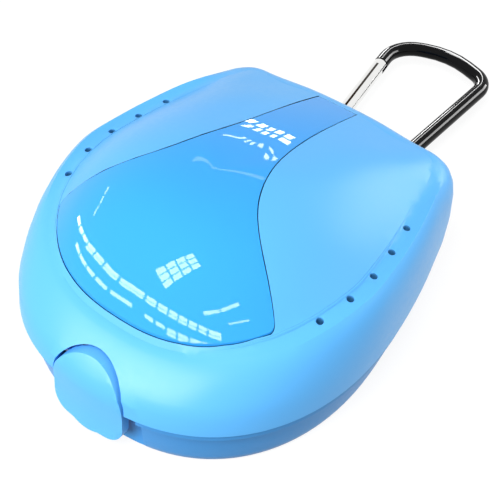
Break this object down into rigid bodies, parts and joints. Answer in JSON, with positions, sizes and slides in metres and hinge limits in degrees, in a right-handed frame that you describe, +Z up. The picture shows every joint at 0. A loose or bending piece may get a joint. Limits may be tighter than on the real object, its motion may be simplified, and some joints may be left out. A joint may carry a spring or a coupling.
{
  "type": "mouth guard case",
  "caption": "Hinged plastic mouth guard case with a domed vented lid, inset gloss panel, front snap latch and a spring-gate carabiner on a rear lug.",
  "frame": {"origin": "middle of the closed case in plan, on the flat bottom of the base", "axes": "+Z up through the lid, +Y towards the hinge and carabiner, the latch faces -Y, +X to the right seen from the latch"},
  "size_m": [0.086, 0.1691, 0.0493],
  "materials": {
    "sky_blue_plastic": "satin",
    "gloss_blue_plastic": "gloss",
    "gloss_black_rod": "gloss",
    "chrome_gate": "polished",
    "steel_pin": "satin"
  },
  "bodies": {
    "base": {"base_shell": "sky_blue_plastic", "hinge_pin": "steel_pin"},
    "lid": {"lid_shell": "sky_blue_plastic", "gloss_panel": "gloss_blue_plastic", "latch_pin": "steel_pin"},
    "latch": {"latch_flap": "sky_blue_plastic"},
    "carabiner": {"carabiner_body": "gloss_black_rod", "nose_pin": "steel_pin", "gate_rivet": "steel_pin"},
    "gate": {"carabiner_gate": "chrome_gate", "gate_spring": "steel_pin", "gate_plunger": "steel_pin"}
  },
  "joints": [
    {"name": "lid_hinge", "type": "hinge", "parent": "base", "child": "lid", "pos_m": [0, 0.0448, 0.014], "axis": [-1, 0, 0], "range_deg": [0, 110]},
    {"name": "latch_pivot", "type": "hinge", "parent": "lid", "child": "latch", "pos_m": [0, -0.0511, 0.019], "axis": [-1, 0, 0], "range_deg": [0, 28]},
    {"name": "carabiner_swing", "type": "hinge", "parent": "base", "child": "carabiner", "pos_m": [0, 0.0472, 0.0065], "axis": [1, 0, 0], "range_deg": [-80, 5]},
    {"name": "gate_hinge", "type": "hinge", "parent": "carabiner", "child": "gate", "pos_m": [-0.01461, 0.0582, 0.0065], "axis": [0, 0, -1], "range_deg": [0, 25], "stiffness_Nm_per_rad": 0.03, "springref_deg": -11.46}
  ]
}
